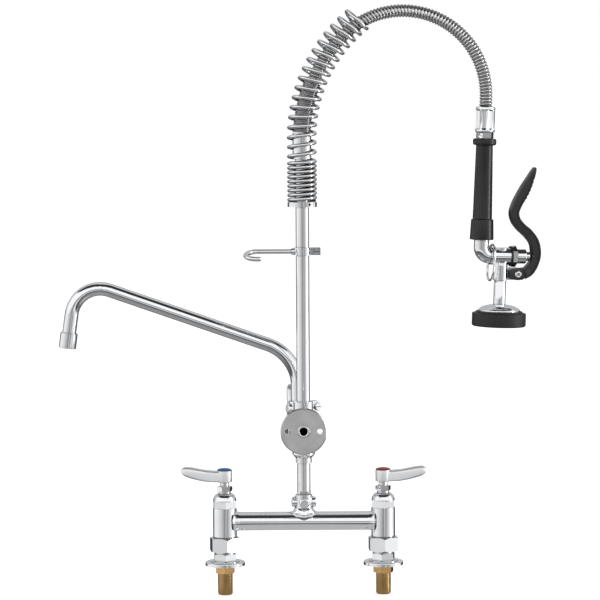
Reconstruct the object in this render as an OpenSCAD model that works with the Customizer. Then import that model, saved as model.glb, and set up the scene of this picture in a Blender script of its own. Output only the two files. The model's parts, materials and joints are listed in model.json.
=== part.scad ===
// Deck-mounted pre-rinse faucet with an add-on swing spout, a wall bracket,
// an overhead hose on a spring guide and a squeeze spray valve.
// Millimetres. Z up. Z = 0 is the top of the deck, X runs along the two deck holes,
// +Y is the user's side and -Y is the wall side.
// The origin is on the deck, midway between the two supply legs.

/* [Deck and bridge] */
// Distance between the two deck holes, centre to centre
centres = 203.2; // [190:0.1:220]
// Outer diameter of the bridge tube
bridge_od = 24.1; // [22:0.1:26]
// Height of the bridge tube's axis above the deck
bridge_z = 56.7; // [54:0.1:58]
// Outer diameter of the valve barrels
barrel_od = 30.5; // [29:0.1:32]
// Outer diameter of the deck flanges
flange_od = 51; // [44:0.5:60]
// Outer diameter of the supply shanks
shank_od = 19.2; // [18:0.1:20]
// Length of the supply shanks below the deck
shank_drop = 38; // [25:1:80]
// Distance across the corners of the big union nuts
union_nut_corners = 41.6; // [40:0.1:44]

/* [Handles] */
// Length of a lever from its stem axis to its tip
lever_reach = 56; // [45:1:70]
// Diameter of a lever's hub
hub_od = 19.4; // [18:0.1:22]
// Diameter of a valve stem
stem_od = 11.4; // [10:0.1:12]

/* [Riser and bracket] */
// Outer diameter of the riser pipe
riser_od = 17.1; // [17:0.1:17.2]
// Height of the riser pipe's top end
riser_top = 540; // [536:1:545]
// Height of the wall bracket's axis
bracket_z = 192.5; // [192.5:0.5:203]
// Distance from the riser axis to the wall
wall_reach = 165; // [120:1:200]
// Diameter of the round wall flange
wall_flange_od = 57.4; // [56:0.2:70]
// Distance between the wall flange's two screw holes
wall_hole_pitch = 39.8; // [38:0.1:44]
// Diameter of the wall flange's screw holes
wall_hole_d = 6.8; // [5:0.1:7]
// Height of the finger hook
hook_z = 403.2; // [390:0.5:420]
// Diameter of the hook's rod
hook_rod_d = 6.3; // [5:0.1:7]

/* [Swing spout] */
// Outer diameter of the spout tube
spout_od = 18; // [16:0.1:18.4]
// Length of the spout's straight sloping run
spout_run = 216.4; // [120:0.1:260]
// Slope of the spout's run above the horizontal, in degrees
spout_slope = 19.3; // [10:0.1:30]
// Distance from the riser axis to the spout's swivel axis
spout_offset = 57.4; // [56:0.1:60]
// Turn of the add-on valve away from the user's side, in degrees
add_on_turn = 7; // [0:0.5:8]

/* [Overhead hose and spring] */
// Outer diameter of the flexible hose
hose_od = 16.4; // [15:0.1:16.6]
// Outer diameter of the guide spring
spring_od = 38; // [37:0.1:38]
// Diameter of the spring's wire
spring_wire = 4.9; // [4:0.1:5]
// Number of closed turns at the foot of the spring
closed_turns = 9; // [6:1:9]
// Number of open turns in the spring
open_turns = 17; // [12:1:17]

/* [Spray valve] */
// Lean of the spray valve from the vertical, in degrees
spray_lean = 1.8; // [0:0.1:4]
// Turn of the spray valve about its swivel, away from the wall side, in degrees
spray_turn = 12; // [0:1:20]
// Diameter of the black grip at its middle
grip_od = 23.2; // [22:0.1:25]
// Outer diameter of the elbow under the grip
elbow_od = 19.4; // [18:0.1:20]
// Outer diameter of the bumper round the spray face
bumper_od = 69; // [66:0.5:74]
// Outer diameter of the spray tube
spray_tube_od = 15.5; // [14:0.1:16]

/* [Hidden] */
$fn = 64;

// Colours
chrome_tone = [0.80, 0.81, 0.83];
brass_tone = [0.72, 0.53, 0.28];
zinc_tone = [0.62, 0.62, 0.62];
black_tone = [0.10, 0.10, 0.11];
dark_tone = [0.20, 0.20, 0.21];
blue_tone = [0.05, 0.28, 0.55];
red_tone = [0.60, 0.13, 0.12];

// Gap between a turning shaft and its bore, and between loose curved faces
run_gap = 0.05;
loose_gap = 0.3;

// Heights on a supply leg, from the shank's thread up to the index cap
shank_top = 12;
adapter_z = 6;
adapter_hex_top = 15;
union_z = 18;
union_top = 36;
barrel_top = 74;
bonnet_hex_top = 84;
bonnet_dome_top = 93;
bonnet_neck_top = 96;
packing_top = 102;
hub_z = 107.5;
hub_h = 15;
stem_top = hub_z + 11.5;
hub_top = hub_z + hub_h;

// Stem, shank and barrel details
stem_r = stem_od / 2;
locknut_h = 10;
locknut_corners = 27;
shank_neck_r = shank_od / 2 - 0.2;
spindle_r = 8.9;
seat_z = 48;
barrel_bore_r = 11;
shank_bore_r = 6.5;

// Centre column
tee_top = 74;
lug_nut_z = 73;
lug_nut_h = 17;
lug_reach = 15.8;
nipple_hex_top = 95.6;
add_on_foot = 132;
add_on_collar = 7;
add_on_top = 185;
add_on_axis_z = 164;
pipe_r = riser_od / 2;
pipe_bore_r = 6.3;
spout_nut_z = 188;

// Swing spout
spout_rise_r = 58;
spout_tip_r = 37.5;
spout_foot_z = add_on_axis_z + 4;
spout_leg_top = 224.3;
spout_tip_turn = 101.3;
spout_outlet = 31;

// Aerator, along the outlet
aerator_r = 11.25;
aerator_top = 26;
aerator_end = 45;

// Clamps on the riser: turn, reach of the ears and half the screw's grip
bracket_turn = 38;
bracket_ear = 23;
bracket_half = 5.5;
hook_half = 3.9;
hook_ear = 23;

// Riser fittings
collar_z = 460;
collar_top = 466.5;
coupling_z = 521;
coupling_top = 554;
coupling_r = 11.9;

// Overhead curve: the hose and its spring each rise straight and then bend to the right
hose_bend_z = 547;
hose_bend_r = 184.5;
hose_bend_a = 44;
hose_arch_r = 106;
hose_arch_a = 137.8;
hose_tail = 32;
spring_bend_z = 548.6;
spring_bend_r = 190;
spring_foot_z = collar_top + spring_wire / 2 + 0.15;
closed_pitch = 5.75;
spring_end_a = 52;
spring_open_len = spring_bend_z - spring_foot_z - closed_turns * closed_pitch
    + spring_bend_r * spring_end_a * PI / 180;
open_pitch = spring_open_len / open_turns;
sleeve_start_a = 2.4;
sleeve_end_a = 22.8;
hose_bore_r = 5;

// Spray valve, in its own upright frame: origin on the grip's axis, level with the valve
arch_x = hose_bend_r * (1 - cos(hose_bend_a)) + hose_arch_r * cos(hose_bend_a);
arch_z = hose_bend_z + hose_bend_r * sin(hose_bend_a) - hose_arch_r * sin(hose_bend_a);
drop_top = [arch_x + hose_arch_r * cos(spray_lean), arch_z - hose_arch_r * sin(spray_lean)];
spray_z = 396.1;
spray_x = drop_top[0] - (drop_top[1] - spray_z) * tan(spray_lean);
drop_len = (drop_top[1] - spray_z) / cos(spray_lean);
ferrule_z = 157.3;
ferrule_top = 189.7;
nut_z = 149.5;
grip_z = 20.6;
grip_top = 149.4;
grip_ring_z = 141.1;
grip_flare_z = 45.6;
elbow_r = elbow_od / 2;
elbow_bend = 11;
valve_x = 26;
valve_r = 11;
valve_end = 37.7;
gasket_end = 39.5;
bonnet_hex_end = 45.5;
bonnet_end = 58.4;
plunger_tip = 65.2;
plunger_r = 5.8;
outlet_z = -31;
tube_foot = -63;
face_z = -89.5;
plate_z = -69.5;
plate_foot = -71.9;
pivot_x = 47.1;
pivot_z = -22.5;
pivot_r = 2.4;
lever_half = 8;
lug_half = 3.5;
ring_wire = 3;
ring_r = valve_r + 2 + ring_wire / 2;
ring_drop = 16.5;
ring_x = 14;
ring_tilt = 3.5;

// Hand lever of the spray valve: centre points [x, z, thickness] from the pivot to the tip
lever_spine = [
    [54, -23, 13], [62.5, -18.5, 12.5], [69.3, -8.5, 11], [71.8, 4, 11.2],
    [69, 18.5, 11], [60.5, 29.5, 11.5], [51, 37.5, 11], [44, 46, 10.6],
    [41.6, 56, 10.6], [45, 67, 11.2], [51, 78, 12.4], [57, 89.5, 11.5],
    [62.3, 101, 8], [67.6, 114, 3]
];

// ---------- Shared shapes ----------

// Hexagonal prism with lightly chamfered ends, sized across its corners
module hex_prism(corners, z0, z1, chamfer = 1) {
    intersection() {
        translate([0, 0, z0])
            cylinder(h = z1 - z0, d = corners, $fn = 6);
        rotate_extrude()
            polygon([
                [0, z0], [corners / 2 - chamfer, z0], [corners / 2, z0 + chamfer * 0.6],
                [corners / 2, z1 - chamfer * 0.6], [corners / 2 - chamfer, z1], [0, z1]
            ]);
    }
}

// Round bar or tube along Z
module bar(r, z0, z1) {
    translate([0, 0, z0])
        cylinder(h = z1 - z0, r = r);
}

module ring(r_out, r_in, z0, z1) {
    difference() {
        bar(r_out, z0, z1);
        bar(r_in, z0 - 1, z1 + 1);
    }
}

// Concave flare: radius r0 at z0 opening out to r1 at z1
module flare(r0, r1, z0, z1) {
    steps = 8;
    rotate_extrude()
        polygon(concat(
            [[0, z0]],
            [for (i = [0:steps])
                let (t = 90 * i / steps)
                [r0 + (r1 - r0) * (1 - cos(t)), z0 + (z1 - z0) * sin(t)]],
            [[0, z1]]
        ));
}

// Low dome: radius r at z0, rising by h
module dome(r, z0, h) {
    steps = 10;
    rotate_extrude()
        polygon(concat(
            [[0, z0]],
            [for (i = [0:steps])
                let (t = 90 * i / steps)
                [i == steps ? 0 : r * cos(t), z0 + h * sin(t)]]
        ));
}

// Quarter-circle-edged disc: a cylinder whose top edge is rounded by e
module soft_disc(r, z0, z1, e) {
    steps = 6;
    rotate_extrude()
        polygon(concat(
            [[0, z0], [r, z0]],
            [for (i = [0:steps])
                let (t = 90 * i / steps)
                [r - e + e * cos(t), z1 - e + e * sin(t)]],
            [[0, z1]]
        ));
}

// Bend in the XZ plane that starts at the origin going up and turns towards +X
module bend(bend_r, angle, r) {
    translate([bend_r, 0, 0])
        rotate([90, 0, 0])
            rotate([0, 0, 180 - angle])
                rotate_extrude(angle = angle)
                    translate([bend_r, 0])
                        circle(r = r);
}

// Places children at the end of a bend, facing along it
module after_bend(bend_r, angle) {
    translate([bend_r * (1 - cos(angle)), 0, bend_r * sin(angle)])
        rotate([0, angle, 0])
            children();
}

// Hair-thin band that covers the seam between two runs of a bent bar
module seam(r) {
    bar(r + 0.02, -0.25, 0.25);
}

module at_leg(side) {
    translate([side * centres / 2, 0, 0])
        children();
}

// ---------- Supply legs ----------

module shank(side) {
    color(brass_tone)
        at_leg(side)
            difference() {
                union() {
                    bar(shank_od / 2, 2 - shank_drop, -locknut_h - 0.4);
                    bar(shank_neck_r, -locknut_h - 0.5, shank_top);
                    translate([0, 0, -shank_drop])
                        cylinder(h = 2, r1 = shank_od / 2 - 1.2, r2 = shank_od / 2);
                }
                bar(shank_bore_r, -shank_drop - 1, shank_top + 1);
            }
}

module locknut(side) {
    color(brass_tone)
        at_leg(side)
            rotate([0, 0, side > 0 ? 15 : 28])
                difference() {
                    hex_prism(locknut_corners, -locknut_h, 0, 1.2);
                    bar(shank_neck_r, -locknut_h - 1, 1);
                }
}

module flange(side) {
    rim_h = 3.6;
    color(chrome_tone)
        at_leg(side)
            difference() {
                union() {
                    soft_disc(flange_od / 2, 0, rim_h + 1.4, 1.8);
                    bar(flange_od / 2 - 7, rim_h, adapter_z);
                }
                bar(locknut_corners / 2 + loose_gap, -1, adapter_z + 1);
            }
}

module adapter(side) {
    collar_r = 14.7;
    neck_r = 13.1;
    color(chrome_tone)
        at_leg(side)
            difference() {
                union() {
                    rotate([0, 0, side > 0 ? 21 : 35])
                        hex_prism(31.6, adapter_z, adapter_hex_top, 1.2);
                    bar(neck_r, adapter_hex_top, union_z + 3);
                    bar(collar_r, union_z + 2.8, union_z + 5);
                }
                bar(shank_neck_r, adapter_z - 1, shank_top);
                bar(shank_bore_r - 0.3, shank_top - 1, union_z + 6);
            }
}

module union_nut(side) {
    color(chrome_tone)
        at_leg(side)
            rotate([0, 0, side > 0 ? -85 : -79])
                difference() {
                    hex_prism(union_nut_corners, union_z, union_top, 2.6);
                    bar(13.2, union_z - 1, union_z + 3);
                    bar(14.8, union_z + 2.7, union_top + 1);
                }
}

module barrel(side) {
    thread_r = 14.7;
    at_leg(side) {
        bar(thread_r, union_z + 5.1, union_top + 0.5);
        translate([0, 0, union_top])
            cylinder(h = 1.4, r1 = thread_r - 0.3, r2 = barrel_od / 2);
        bar(barrel_od / 2, union_top + 1.4, barrel_top);
        // Flare where the bridge tube meets the barrel
        translate([-side * (barrel_od / 2 + 6), 0, bridge_z])
            rotate([0, side * 90, 0])
                flare(bridge_od / 2 - 0.05, 15.4, 0, 10);
    }
}

module barrel_ways(side) {
    at_leg(side) {
        bar(barrel_bore_r, seat_z, barrel_top + 1);
        bar(6, seat_z - 8, seat_z + 1);
        bar(8.6, union_z + 4, seat_z - 7);
    }
}

module bridge_body() {
    tube_bore_r = bridge_od / 2 - 2.4;
    color(chrome_tone)
        difference() {
            union() {
                translate([-centres / 2, 0, bridge_z])
                    rotate([0, 90, 0])
                        cylinder(h = centres, d = bridge_od);
                for (side = [-1, 1])
                    barrel(side);
                // Centre tee: a flared neck that stands on the bridge tube
                for (side = [-1, 1])
                    translate([4.5 * side, 0, tee_top - 0.1]) {
                        mirror([0, 0, 1])
                            flare(7.5, 12.4, 0, 6.5);
                        translate([0, 0, bridge_z - tee_top - 2])
                            cylinder(h = tee_top - bridge_z - 4.4, r1 = 4, r2 = 12.4);
                    }
                bar(8.9, tee_top - 1, lug_nut_z + 8);
            }
            for (side = [-1, 1])
                barrel_ways(side);
            translate([12 - centres / 2, 0, bridge_z])
                rotate([0, 90, 0])
                    cylinder(h = centres - 24, r = tube_bore_r);
            bar(pipe_bore_r, bridge_z, lug_nut_z + 9);
        }
}

// Bonnet with a domed top, its nose reaching down into the barrel
module bonnet_shape(nose) {
    steps = 8;
    rise = bonnet_dome_top - bonnet_hex_top + 1;
    difference() {
        union() {
            bar(barrel_bore_r - 0.05, barrel_top - nose, barrel_top + 0.5);
            hex_prism(32.5, barrel_top, bonnet_hex_top, 1.2);
            rotate_extrude()
                polygon(concat(
                    [[0, bonnet_hex_top - 1]],
                    [for (i = [0:steps])
                        let (t = 90 * i / steps)
                        [7.8 + 7.2 * cos(t), bonnet_hex_top - 1 + rise * sin(t)]],
                    [[0, bonnet_dome_top]]
                ));
            bar(7.8, bonnet_dome_top - 1, bonnet_neck_top);
            bar(6.9, bonnet_neck_top - 1, packing_top - 1.6);
        }
        bar(spindle_r + run_gap, barrel_top - 15, barrel_top - 2);
        bar(stem_r + run_gap, barrel_top - 3, packing_top);
    }
}

module packing_nut_shape() {
    difference() {
        hex_prism(20.4, bonnet_neck_top, packing_top, 1);
        bar(6.95, bonnet_neck_top - 1, packing_top - 1.5);
        bar(stem_r + run_gap, packing_top - 2, packing_top + 1);
    }
}

module stem_shape() {
    bar(spindle_r, seat_z + 0.1, barrel_top - 3);
    bar(stem_r, barrel_top - 4, stem_top);
}

// Lever handle along +X, its hub on the Z axis
module lever_shape() {
    tip_r = 2.4;
    difference() {
        union() {
            soft_disc(hub_od / 2, hub_z, hub_top, 0.8);
            hull() {
                translate([0, 0, hub_z + 1])
                    cylinder(h = 12.5, r = hub_od / 2 - 0.9, $fn = 32);
                translate([18, 0, hub_z + 1.6])
                    cylinder(h = 12.6, r = hub_od / 2 - 2.6, $fn = 32);
                for (z = [hub_z + 11, hub_z + 17])
                    translate([lever_reach - tip_r, 0, z])
                        sphere(r = tip_r, $fn = 24);
            }
        }
        bar(stem_r, hub_z - 1, stem_top);
        bar(8, stem_top - 0.01, hub_top + 6);
    }
}

module cap_shape() {
    bar(8, stem_top, hub_top);
    dome(hub_od / 2 - 0.2, hub_top, 3);
}

module bonnet(side) {
    color(chrome_tone)
        at_leg(side)
            rotate([0, 0, side > 0 ? 27 : 36])
                bonnet_shape(14);
}

module packing_nut(side) {
    color(chrome_tone)
        at_leg(side)
            rotate([0, 0, 12])
                packing_nut_shape();
}

module stem(side) {
    color(chrome_tone)
        at_leg(side)
            stem_shape();
}

module lever(side) {
    color(chrome_tone)
        at_leg(side)
            rotate([0, 0, side > 0 ? 0 : 180])
                lever_shape();
}

module index_cap(side, tone) {
    color(tone)
        at_leg(side)
            cap_shape();
}

module cold_shank() { shank(-1); }
module cold_locknut() { locknut(-1); }
module cold_flange() { flange(-1); }
module cold_adapter() { adapter(-1); }
module cold_union_nut() { union_nut(-1); }
module cold_bonnet() { bonnet(-1); }
module cold_packing_nut() { packing_nut(-1); }
module cold_stem() { stem(-1); }
module cold_lever() { lever(-1); }
module cold_index_cap() { index_cap(-1, blue_tone); }
module hot_shank() { shank(1); }
module hot_locknut() { locknut(1); }
module hot_flange() { flange(1); }
module hot_adapter() { adapter(1); }
module hot_union_nut() { union_nut(1); }
module hot_bonnet() { bonnet(1); }
module hot_packing_nut() { packing_nut(1); }
module hot_stem() { stem(1); }
module hot_lever() { lever(1); }
module hot_index_cap() { index_cap(1, red_tone); }

// ---------- Centre column and add-on valve ----------

// Union nut with four round lugs about its girth
module lugged_nut(z0, body_r, bore_r, lip_r) {
    lug_r = 6.8;
    difference() {
        union() {
            bar(body_r, z0, z0 + lug_nut_h);
            for (a = [0:90:270])
                rotate([0, 0, a])
                    translate([0, 0, z0 + lug_nut_h / 2 - 1])
                        rotate([0, 90, 0])
                            soft_disc(lug_r, 0, lug_reach, 2.6);
        }
        bar(bore_r, z0 - 1, z0 + lug_nut_h - 3);
        bar(lip_r, z0 + lug_nut_h - 3.2, z0 + lug_nut_h + 1);
    }
}

module lug_nut() {
    color(chrome_tone)
        rotate([0, 0, 4])
            lugged_nut(lug_nut_z + 1, 10.9, 9.3, 8.2);
}

module lower_nipple() {
    flange_z = lug_nut_z + 8.1;
    color(chrome_tone)
        difference() {
            union() {
                bar(9.1, flange_z, flange_z + 3);
                bar(8, flange_z, lug_nut_z + lug_nut_h + 1.2);
                translate([0, 0, lug_nut_z + lug_nut_h + 1.1])
                    hex_prism(18.9, 0, nipple_hex_top - lug_nut_z - lug_nut_h - 1.1, 0.6);
                bar(pipe_r, nipple_hex_top - 1, add_on_foot + 12);
            }
            bar(pipe_bore_r, flange_z - 1, add_on_foot + 13);
        }
}

// Places children on the add-on valve's arm: local +X runs out along the arm
module on_arm() {
    translate([0, 0, add_on_axis_z])
        rotate([0, 0, 90 + add_on_turn])
            children();
}

module add_on_body() {
    boss_r = 14.2;
    arm_r = 12.4;
    valve_barrel_r = 13.6;
    arm_end = 80;
    boss_top = spout_nut_z + 7;
    color(chrome_tone)
        difference() {
            union() {
                bar(10.3, add_on_foot, add_on_foot + add_on_collar);
                translate([0, 0, add_on_foot + add_on_collar - 0.1])
                    cylinder(h = 4, r1 = 11, r2 = 14.4);
                bar(14.4, add_on_foot + add_on_collar + 3.8, add_on_top - 8);
                translate([0, 0, add_on_top - 8.1])
                    cylinder(h = 4, r1 = 14.4, r2 = 11.4);
                bar(11.4, add_on_top - 4.2, add_on_top);
                on_arm() {
                    rotate([0, 90, 0])
                        cylinder(h = spout_offset, r = arm_r);
                    translate([spout_offset, 0, 0]) {
                        rotate([0, 90, 0])
                            cylinder(h = arm_end - spout_offset, r = valve_barrel_r);
                        bar(boss_r, 3 - valve_barrel_r, spout_nut_z - add_on_axis_z);
                        bar(11.1, 0, boss_top - add_on_axis_z);
                    }
                }
            }
            bar(pipe_r, add_on_foot - 1, add_on_foot + 12);
            bar(pipe_bore_r, add_on_foot, add_on_top);
            bar(pipe_r, add_on_top - 14, add_on_top + 1);
            on_arm() {
                rotate([0, 90, 0])
                    cylinder(h = spout_offset, r = 6);
                translate([spout_offset, 0, 0])
                    bar(9.6, -4, boss_top - add_on_axis_z + 1);
                translate([spout_offset + 8, 0, 0])
                    rotate([0, 90, 0])
                        cylinder(h = 30, r = barrel_bore_r);
                translate([spout_offset, 0, 0])
                    rotate([0, 90, 0])
                        cylinder(h = 10, r = 5);
            }
        }
}

module spout_nut() {
    color(chrome_tone)
        on_arm()
            translate([spout_offset, 0, spout_nut_z - add_on_axis_z])
                rotate([0, 0, 28 - add_on_turn])
                    lugged_nut(0, 12.2, 11.2, spout_od / 2 + loose_gap);
}

// The add-on valve uses the same bonnet, stem and lever, laid along the arm
module on_spout_valve() {
    on_arm()
        translate([80 - barrel_top, 0, 0])
            rotate([0, 90, 0])
                rotate([0, 0, 180])
                    children();
}

module spout_bonnet() {
    color(chrome_tone)
        on_spout_valve()
            bonnet_shape(12);
}

module spout_packing_nut() {
    color(chrome_tone)
        on_spout_valve()
            packing_nut_shape();
}

module spout_stem() {
    color(chrome_tone)
        on_spout_valve() {
            bar(spindle_r, barrel_top - 11.5, barrel_top - 3);
            bar(stem_r, barrel_top - 4, stem_top);
        }
}

module spout_lever() {
    color(chrome_tone)
        on_spout_valve()
            lever_shape();
}

module spout_index_cap() {
    color(zinc_tone)
        on_spout_valve()
            cap_shape();
}

// ---------- Swing spout ----------

// Places children at the spout's foot; local +X points along the spout
module at_spout() {
    translate([-spout_offset * sin(add_on_turn), spout_offset * cos(add_on_turn), 0])
        rotate([0, 0, 180])
            children();
}

// Places children at the outlet end of the spout tube, local +Z out of the tube
module at_outlet() {
    at_spout()
        translate([0, 0, spout_leg_top])
            after_bend(spout_rise_r, 90 - spout_slope)
                translate([0, 0, spout_run])
                    after_bend(spout_tip_r, spout_tip_turn)
                        children();
}

// Bends of the spout's route, as round bars of radius r
module spout_bends(r) {
    translate([0, 0, spout_leg_top]) {
        bend(spout_rise_r, 90 - spout_slope, r);
        after_bend(spout_rise_r, 90 - spout_slope)
            translate([0, 0, spout_run])
                bend(spout_tip_r, spout_tip_turn, r);
    }
}

// Straight runs of the spout's route, each longer by lap where it meets a bend
module spout_runs(r, foot_z, lap, extra) {
    bar(r, foot_z, spout_leg_top + lap);
    translate([0, 0, spout_leg_top])
        after_bend(spout_rise_r, 90 - spout_slope) {
            bar(r, -lap, spout_run + lap);
            translate([0, 0, spout_run])
                after_bend(spout_tip_r, spout_tip_turn)
                    bar(r, -lap, spout_outlet + extra);
        }
}

module spout_tube() {
    tube_r = spout_od / 2;
    bore_r = tube_r - 1.4;
    step = 0.04;
    lap = 0.4;
    color(chrome_tone)
        at_spout()
            difference() {
                union() {
                    bar(9.5, spout_foot_z, spout_nut_z + 6.9);
                    bar(11, spout_nut_z + 7.2, spout_nut_z + 11);
                    spout_bends(tube_r - step);
                    spout_runs(tube_r, spout_nut_z + 6, lap, 0);
                }
                spout_bends(bore_r - step);
                spout_runs(bore_r, spout_foot_z - 1, lap, 1);
            }
}

module aerator_shell() {
    color(chrome_tone)
        at_outlet()
            difference() {
                union() {
                    soft_disc(aerator_r, aerator_top, aerator_end, 0.8);
                    ring(aerator_r - 0.9, spout_od / 2, aerator_top - 1.2, aerator_top + 0.5);
                }
                bar(spout_od / 2, aerator_top - 2, spout_outlet);
                bar(9.4, spout_outlet - 0.01, aerator_end + 1);
            }
}

module aerator_insert() {
    color(dark_tone)
        at_outlet()
            difference() {
                bar(9.35, spout_outlet + 0.1, aerator_end - 1.6);
                for (a = [0:60:300])
                    rotate([0, 0, a])
                        translate([5.2, 0, 0])
                            bar(1.5, spout_outlet, aerator_end);
                bar(1.5, spout_outlet, aerator_end);
            }
}

// ---------- Riser, wall bracket and hook ----------

module riser() {
    color(chrome_tone)
        ring(pipe_r, pipe_bore_r, add_on_top - 13.9, riser_top);
}

// Split band clamp round the riser, its two ears along local +X
module band_clamp(z0, z1, wall, ear_reach, ear_gap, ear_wall, hole_r) {
    mid = (z0 + z1) / 2;
    hole_x = ear_reach - 4.6;
    difference() {
        union() {
            bar(pipe_r + wall, z0, z1);
            translate([pipe_r, -ear_gap / 2 - ear_wall, z0])
                cube([ear_reach - pipe_r, ear_gap + 2 * ear_wall, z1 - z0]);
        }
        bar(pipe_r, z0 - 1, z1 + 1);
        translate([0, -ear_gap / 2, z0 - 1])
            cube([ear_reach + 1, ear_gap, z1 - z0 + 2]);
        translate([hole_x, 0, mid])
            rotate([90, 0, 0])
                cylinder(h = 30, r = hole_r, center = true);
    }
}

// Screw through a band clamp's ears, its head towards local -Y
module clamp_screw(x, z, r, head_r, half_grip) {
    head_h = 3.2;
    translate([x, 0, z])
        rotate([90, 0, 0]) {
            translate([0, 0, -half_grip - 3.6])
                cylinder(h = 2 * half_grip + 3.6, r = r);
            difference() {
                translate([0, 0, half_grip])
                    cylinder(h = head_h, r = head_r);
                translate([-head_r - 1, -0.5, half_grip + head_h - 1.2])
                    cube([2 * head_r + 2, 1, 2]);
            }
            translate([0, 0, -half_grip - 2.8])
                difference() {
                    cylinder(h = 2.7, r = r + 1.9, $fn = 6);
                    translate([0, 0, -1])
                        cylinder(h = 5, r = r - 0.01);
                }
        }
}

module bracket_clamp() {
    z0 = bracket_z - 7;
    z1 = bracket_z + 18;
    color(chrome_tone)
        difference() {
            union() {
                rotate([0, 0, bracket_turn])
                    band_clamp(z1 - 14, z1, 4, bracket_ear, 3, 4, 2.2);
                bar(pipe_r + 4.7, z0, z1 - 13);
                // Threaded boss that takes the bracket tube
                translate([0, -pipe_r - 1, bracket_z])
                    rotate([90, 0, 0])
                        cylinder(h = 12, r = 10);
            }
            bar(pipe_r, z0 - 5, z1 + 5);
            bar(11.8, z0 - 5, z0 + 0.4);
            translate([0, -pipe_r - 5, bracket_z])
                rotate([90, 0, 0])
                    cylinder(h = 20, r = 7.2);
        }
}

module bracket_screw() {
    color(chrome_tone)
        rotate([0, 0, bracket_turn])
            clamp_screw(bracket_ear - 4.6, bracket_z + 11, 2.2, 4.4, bracket_half);
}

module bracket_tube() {
    tube_from = pipe_r + 5.1;
    color(chrome_tone)
        translate([0, -tube_from, bracket_z])
            rotate([90, 0, 0])
                difference() {
                    cylinder(h = wall_reach - tube_from - 0.6, r = 7.2);
                    translate([0, 0, -1])
                        cylinder(h = wall_reach, r = 5.15);
                }
}

module wall_flange() {
    flange_r = wall_flange_od / 2;
    bevel = 1.6;
    color(zinc_tone)
        translate([0, -wall_reach, bracket_z])
            rotate([-90, 0, 0])
                difference() {
                    union() {
                        cylinder(h = bevel, r1 = flange_r - bevel, r2 = flange_r);
                        soft_disc(flange_r, bevel - 0.01, 6.5, 3);
                        translate([0, 0, 6.4])
                            cylinder(h = 8, r1 = 16, r2 = 11.5);
                    }
                    bar(7.2, 0.5, 16);
                    bar(7.6, -1, 0.55);
                    for (side = [-1, 1])
                        translate([side * wall_hole_pitch / 2, 0, -1])
                            cylinder(h = 9, d = wall_hole_d);
                }
}

module hook_clamp() {
    color(chrome_tone)
        union() {
            band_clamp(hook_z - 4.7, hook_z + 4.7, 2.2, hook_ear, 3, 2.4, 1.9);
            // Socket that takes the hook's rod
            difference() {
                translate([-pipe_r - 5.5, 0, hook_z])
                    rotate([0, 90, 0])
                        cylinder(h = 6, r = 4.5);
                bar(pipe_r + 0.5, hook_z - 6, hook_z + 6);
                translate([-pipe_r - 6, 0, hook_z])
                    rotate([0, 90, 0])
                        cylinder(h = 4, d = hook_rod_d);
            }
        }
}

module hook_screw() {
    color(chrome_tone)
        clamp_screw(hook_ear - 4.6, hook_z, 1.9, 4.2, hook_half);
}

module hook_rod() {
    rod_r = hook_rod_d / 2;
    hook_bend = 15;
    straight = 46.5;
    tail = 2;
    hook_fall = 15;
    // The rod runs out from the riser and bends back round towards the wall side
    color(chrome_tone)
        translate([-pipe_r - 2, 0, hook_z])
            rotate([hook_fall, 0, 0])
                rotate([0, -90, 0])
                    rotate([0, 0, -90]) {
                        bar(rod_r, 0, straight);
                        translate([0, 0, straight]) {
                            bend(hook_bend, 180, rod_r);
                            after_bend(hook_bend, 180) {
                                bar(rod_r, 0, tail);
                                dome(rod_r, tail, rod_r);
                            }
                        }
                    }
}

// ---------- Overhead hose and spring ----------

module spring_collar() {
    color(chrome_tone)
        difference() {
            soft_disc(18.7, collar_z, collar_top, 0.8);
            bar(pipe_r, collar_z - 1, collar_top + 1);
            translate([0, 0, (collar_z + collar_top) / 2])
                rotate([90, 0, 30])
                    cylinder(h = 25, r = 1.6);
        }
}

module riser_coupling() {
    color(chrome_tone)
        difference() {
            soft_disc(coupling_r, coupling_z, coupling_top, 0.8);
            bar(pipe_r, coupling_z - 1, riser_top);
            bar(hose_bore_r, riser_top - 1, coupling_top + 1);
        }
}

// Places children at a point on the overhead curve's first bend
module on_first_bend() {
    translate([0, 0, hose_bend_z])
        children();
}

// The flexible hose, from the coupling round both bends and into its end ferrule
module hose() {
    hose_r = hose_od / 2;
    color(zinc_tone)
        on_first_bend() {
            translate([hose_bend_r, 0, 0])
                rotate([90, 0, 0])
                    rotate([0, 0, 180 - hose_bend_a])
                        rotate_extrude(angle = hose_bend_a - sleeve_start_a)
                            translate([hose_bend_r, 0])
                                circle(r = hose_r);
            after_bend(hose_bend_r, hose_bend_a) {
                seam(hose_r);
                bend(hose_arch_r, hose_arch_a, hose_r);
                after_bend(hose_arch_r, hose_arch_a) {
                    seam(hose_r);
                    bar(hose_r, 0, hose_tail);
                }
            }
        }
}

// Crimped sleeve over the hose's first stretch, from the coupling round the bend
module hose_sleeve() {
    sleeve_r = 11.5;
    color(zinc_tone)
        on_first_bend()
            translate([hose_bend_r, 0, 0])
                rotate([90, 0, 0])
                    rotate([0, 0, 180 - sleeve_end_a])
                        rotate_extrude(angle = sleeve_end_a - sleeve_start_a)
                            translate([hose_bend_r, 0])
                                difference() {
                                    circle(r = sleeve_r);
                                    circle(r = hose_od / 2 + 0.02);
                                }
}

// Distance along the spring's axis after a number of turns
function spring_s(turns) =
    min(turns, closed_turns) * closed_pitch + max(0, turns - closed_turns) * open_pitch;
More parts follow.
